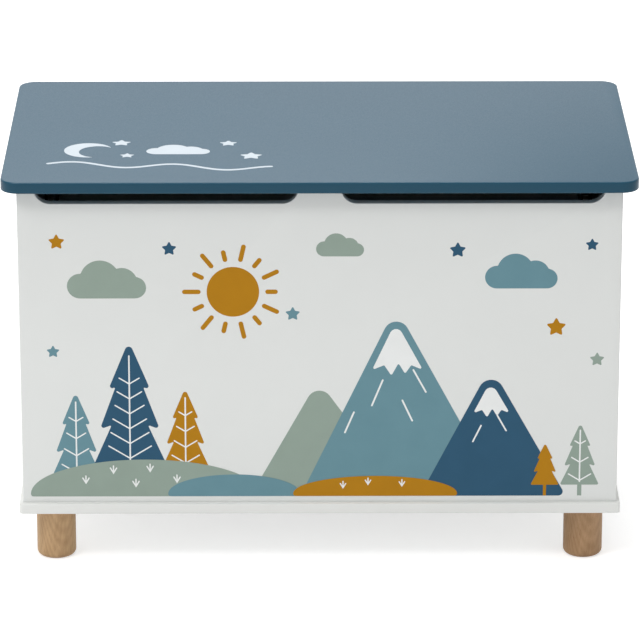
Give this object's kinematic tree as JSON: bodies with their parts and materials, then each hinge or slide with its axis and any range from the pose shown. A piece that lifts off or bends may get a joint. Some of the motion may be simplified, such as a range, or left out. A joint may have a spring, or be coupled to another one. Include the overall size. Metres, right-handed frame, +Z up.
{
  "type": "toy chest",
  "caption": "Low storage chest with a hinged overhanging lid held by lid stays, finger notches in the front panel, and turned feet.",
  "frame": {"origin": "floor level under the middle of the lid", "axes": "+X to the right along the chest's length, -Y towards the front panel with the notches, +Z up"},
  "size_m": [0.7, 0.4, 0.455],
  "materials": {
    "blue_lacquer": "dark blue satin lacquer sprayed on fibreboard",
    "white_lacquer": "white satin lacquer sprayed on fibreboard",
    "oiled_beech": "turned solid wood, clear oil, grain upright",
    "dowel_beech": "raw fluted dowel rod",
    "zinc_steel": "bright zinc plated steel",
    "zinc_diecast": "die-cast zinc, matte",
    "nickel_steel": "satin nickel plated steel sheet",
    "black_steel": "pressed steel, black powder coat, fine texture",
    "black_plastic": "moulded, fine texture",
    "clear_rubber": "translucent grey elastomer"
  },
  "bodies": {
    "carcass": {"base_panel": "white_lacquer", "front_panel": "white_lacquer", "back_panel": "white_lacquer", "side_panel_left": "white_lacquer", "side_panel_right": "white_lacquer", "foot_front_left": "oiled_beech", "foot_front_right": "oiled_beech", "foot_rear_left": "oiled_beech", "foot_rear_right": "oiled_beech", "foot_hanger_bolts": "zinc_steel", "foot_tee_nuts": "zinc_steel", "floor_screws": "zinc_steel", "corner_dowels": "dowel_beech", "cam_bolts": "zinc_steel", "cam_locks": "zinc_diecast", "hinge_body_screws": "nickel_steel", "stay_plate_screws": "zinc_steel", "lid_bumpers": "clear_rubber", "hinge_body_leaf_left": "nickel_steel", "hinge_pin_left": "nickel_steel", "stay_plate_left": "black_steel", "stay_drum_left": "black_plastic", "stay_spindle_left": "zinc_steel", "hinge_body_leaf_right": "nickel_steel", "hinge_pin_right": "nickel_steel", "stay_plate_right": "black_steel", "stay_drum_right": "black_plastic", "stay_spindle_right": "zinc_steel"},
    "lid": {"lid_panel": "blue_lacquer", "hinge_lid_screws": "nickel_steel", "stay_bracket_screws": "zinc_steel", "hinge_lid_leaf_left": "nickel_steel", "stay_bracket_left": "black_steel", "stay_bracket_pin_left": "zinc_steel", "hinge_lid_leaf_right": "nickel_steel", "stay_bracket_right": "black_steel", "stay_bracket_pin_right": "zinc_steel"},
    "stay_arm_left": {"stay_arm_left": "black_steel", "stay_elbow_rivet_left": "zinc_steel"},
    "stay_link_left": {"stay_link_left": "black_steel"},
    "stay_arm_right": {"stay_arm_right": "black_steel", "stay_elbow_rivet_right": "zinc_steel"},
    "stay_link_right": {"stay_link_right": "black_steel"}
  },
  "joints": [
    {"name": "lid_hinge", "type": "hinge", "parent": "carcass", "child": "lid", "pos_m": [0, 0.197, 0.439], "axis": [-1, 0, 0], "range_deg": [0, 85]},
    {"name": "stay_arm_left_pivot", "type": "hinge", "parent": "carcass", "child": "stay_arm_left", "pos_m": [-0.305, 0.16, 0.345], "axis": [-1, 0, 0], "range_deg": [0, 85]},
    {"name": "stay_link_left_pivot", "type": "hinge", "parent": "stay_arm_left", "child": "stay_link_left", "pos_m": [-0.3015, 0.04, 0.33], "axis": [-1, 0, 0], "range_deg": [-85, 0]},
    {"name": "stay_arm_right_pivot", "type": "hinge", "parent": "carcass", "child": "stay_arm_right", "pos_m": [0.305, 0.16, 0.345], "axis": [-1, 0, 0], "range_deg": [0, 85]},
    {"name": "stay_link_right_pivot", "type": "hinge", "parent": "stay_arm_right", "child": "stay_link_right", "pos_m": [0.3015, 0.04, 0.33], "axis": [-1, 0, 0], "range_deg": [-85, 0]}
  ],
  "couplings": [
    {"joint": "stay_arm_left_pivot", "follows": "lid_hinge", "ratio": 1},
    {"joint": "stay_link_left_pivot", "follows": "lid_hinge", "ratio": -1},
    {"joint": "stay_arm_right_pivot", "follows": "lid_hinge", "ratio": 1},
    {"joint": "stay_link_right_pivot", "follows": "lid_hinge", "ratio": -1}
  ]
}
